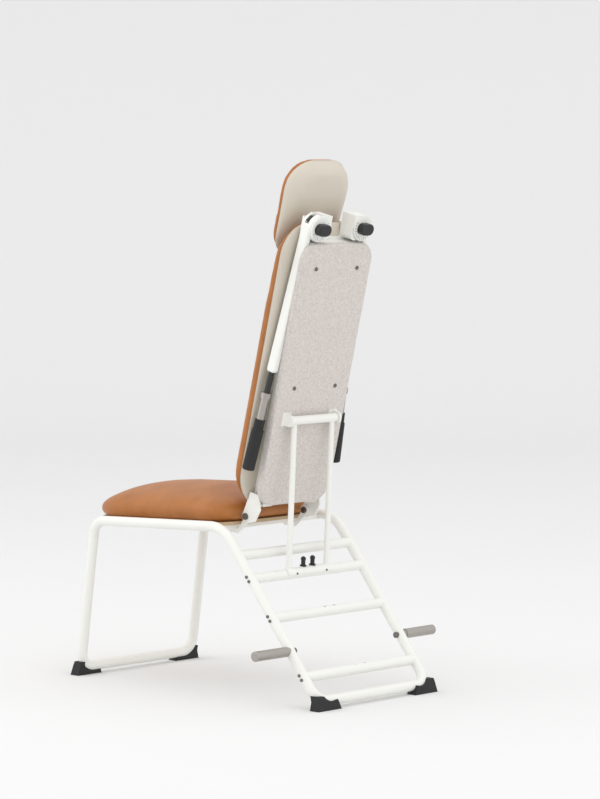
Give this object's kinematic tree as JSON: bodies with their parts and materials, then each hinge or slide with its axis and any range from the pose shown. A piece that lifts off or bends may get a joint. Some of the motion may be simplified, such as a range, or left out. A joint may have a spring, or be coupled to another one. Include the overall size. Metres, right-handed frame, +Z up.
{
  "type": "adjustable treatment bench",
  "caption": "Treatment bench with a padded seat on a bent tube frame, a reclining backrest held by a ladder prop, a headrest and two swing-out arms.",
  "frame": {"origin": "middle of the footprint box, on the floor", "axes": "+X to the sitter's left, across the bench; -Y to the front of the seat, +Y to the rear; +Z up"},
  "size_m": [0.6614, 0.8792, 1.3353],
  "materials": {
    "white_frame": "satin powder coat",
    "black_rubber": "moulded",
    "black_plastic": "fine moulded texture",
    "black_metal": "satin black",
    "steel": "brushed",
    "dark_steel": "screw heads",
    "tan_leather": "smooth grained upholstery leather",
    "shell": "satin moulded shell",
    "felt": "pressed felt",
    "board": "plywood"
  },
  "bodies": {
    "base": {"front_leg_hoop": "white_frame", "side_rail_left": "white_frame", "side_rail_right": "white_frame", "leg_link_left": "white_frame", "leg_link_right": "white_frame", "rear_floor_hoop": "white_frame", "tube_spigots": "dark_steel", "upper_beam": "white_frame", "rung_upper": "white_frame", "rung_middle": "white_frame", "rung_lower": "white_frame", "rung_bolts": "dark_steel", "foot_front_left": "black_rubber", "foot_front_right": "black_rubber", "foot_rear_left": "black_rubber", "foot_rear_right": "black_rubber", "band_peg_left": "steel", "band_peg_right": "steel", "peg_bolts": "dark_steel", "seat_cross_bars": "white_frame", "seat_pan": "board", "seat_cushion": "tan_leather", "hinge_bracket_left": "white_frame", "hinge_bracket_right": "white_frame", "hinge_pins": "dark_steel"},
    "backrest": {"spine_left": "white_frame", "spine_right": "white_frame", "back_shell": "shell", "back_cushion": "tan_leather", "rear_panel": "felt", "panel_screws": "dark_steel", "prop_bracket_left": "white_frame", "prop_bracket_right": "white_frame", "hub_plate": "white_frame", "hub_axles": "dark_steel", "index_disc_left": "white_frame", "index_disc_right": "white_frame", "headrest_bracket": "shell", "headrest_shell": "shell", "headrest_cushion": "tan_leather"},
    "prop": {"prop_tube": "white_frame", "prop_rod_left": "white_frame", "prop_rod_right": "white_frame", "prop_saddle": "white_frame", "saddle_screws": "dark_steel"},
    "pull_pin_left": {"pull_pin_left": "black_plastic"},
    "pull_pin_right": {"pull_pin_right": "black_plastic"},
    "arm_left": {"arm_left": "white_frame", "arm_bar_left": "black_metal", "arm_ring_left": "steel", "grip_left": "black_rubber"},
    "release_lever_left": {"release_lever_left": "black_plastic"},
    "clamp_knob_left": {"clamp_knob_left": "black_plastic"},
    "arm_right": {"arm_right": "white_frame", "arm_bar_right": "black_metal", "arm_ring_right": "steel", "grip_right": "black_rubber"},
    "release_lever_right": {"release_lever_right": "black_plastic"},
    "clamp_knob_right": {"clamp_knob_right": "black_plastic"}
  },
  "joints": [
    {"name": "backrest_recline", "type": "hinge", "parent": "base", "child": "backrest", "pos_m": [0, 0.0931, 0.4413], "axis": [-1, 0, 0], "range_deg": [0, 59.2]},
    {"name": "prop_swing", "type": "hinge", "parent": "backrest", "child": "prop", "pos_m": [0, 0.2164, 0.68515], "axis": [1, 0, 0], "range_deg": [0, 63.28]},
    {"name": "pull_pin_left_lift", "type": "slide", "parent": "prop", "child": "pull_pin_left", "axis": [0, 0.0461, 0.9989], "range_m": [0, 0.008], "stiffness_N_per_m": 400, "springref_m": -0.006},
    {"name": "arm_left_swing", "type": "hinge", "parent": "backrest", "child": "arm_left", "pos_m": [0.078, 0.27505, 1.16789], "axis": [0, -0.972, 0.2351], "range_deg": [0, 100]},
    {"name": "release_lever_left_press", "type": "slide", "parent": "arm_left", "child": "release_lever_left", "axis": [-0.6401, -0.1807, -0.7467], "range_m": [0, 0.003], "stiffness_N_per_m": 300, "springref_m": -0.002},
    {"name": "clamp_knob_left_turn", "type": "hinge", "parent": "backrest", "child": "clamp_knob_left", "pos_m": [0.078, 0.3115, 1.15907], "axis": [0, 0.972, -0.2351], "range_deg": [0, 180]},
    {"name": "pull_pin_right_lift", "type": "slide", "parent": "prop", "child": "pull_pin_right", "axis": [0, 0.0461, 0.9989], "range_m": [0, 0.008], "stiffness_N_per_m": 400, "springref_m": -0.006},
    {"name": "arm_right_swing", "type": "hinge", "parent": "backrest", "child": "arm_right", "pos_m": [-0.078, 0.27505, 1.16789], "axis": [0, 0.972, -0.2351], "range_deg": [0, 100]},
    {"name": "release_lever_right_press", "type": "slide", "parent": "arm_right", "child": "release_lever_right", "axis": [0.6401, -0.1807, -0.7467], "range_m": [0, 0.003], "stiffness_N_per_m": 300, "springref_m": -0.002},
    {"name": "clamp_knob_right_turn", "type": "hinge", "parent": "backrest", "child": "clamp_knob_right", "pos_m": [-0.078, 0.3115, 1.15907], "axis": [0, 0.972, -0.2351], "range_deg": [0, 180]}
  ],
  "couplings": [
    {"joint": "prop_swing", "follows": "backrest_recline", "ratio": 1.0681}
  ]
}
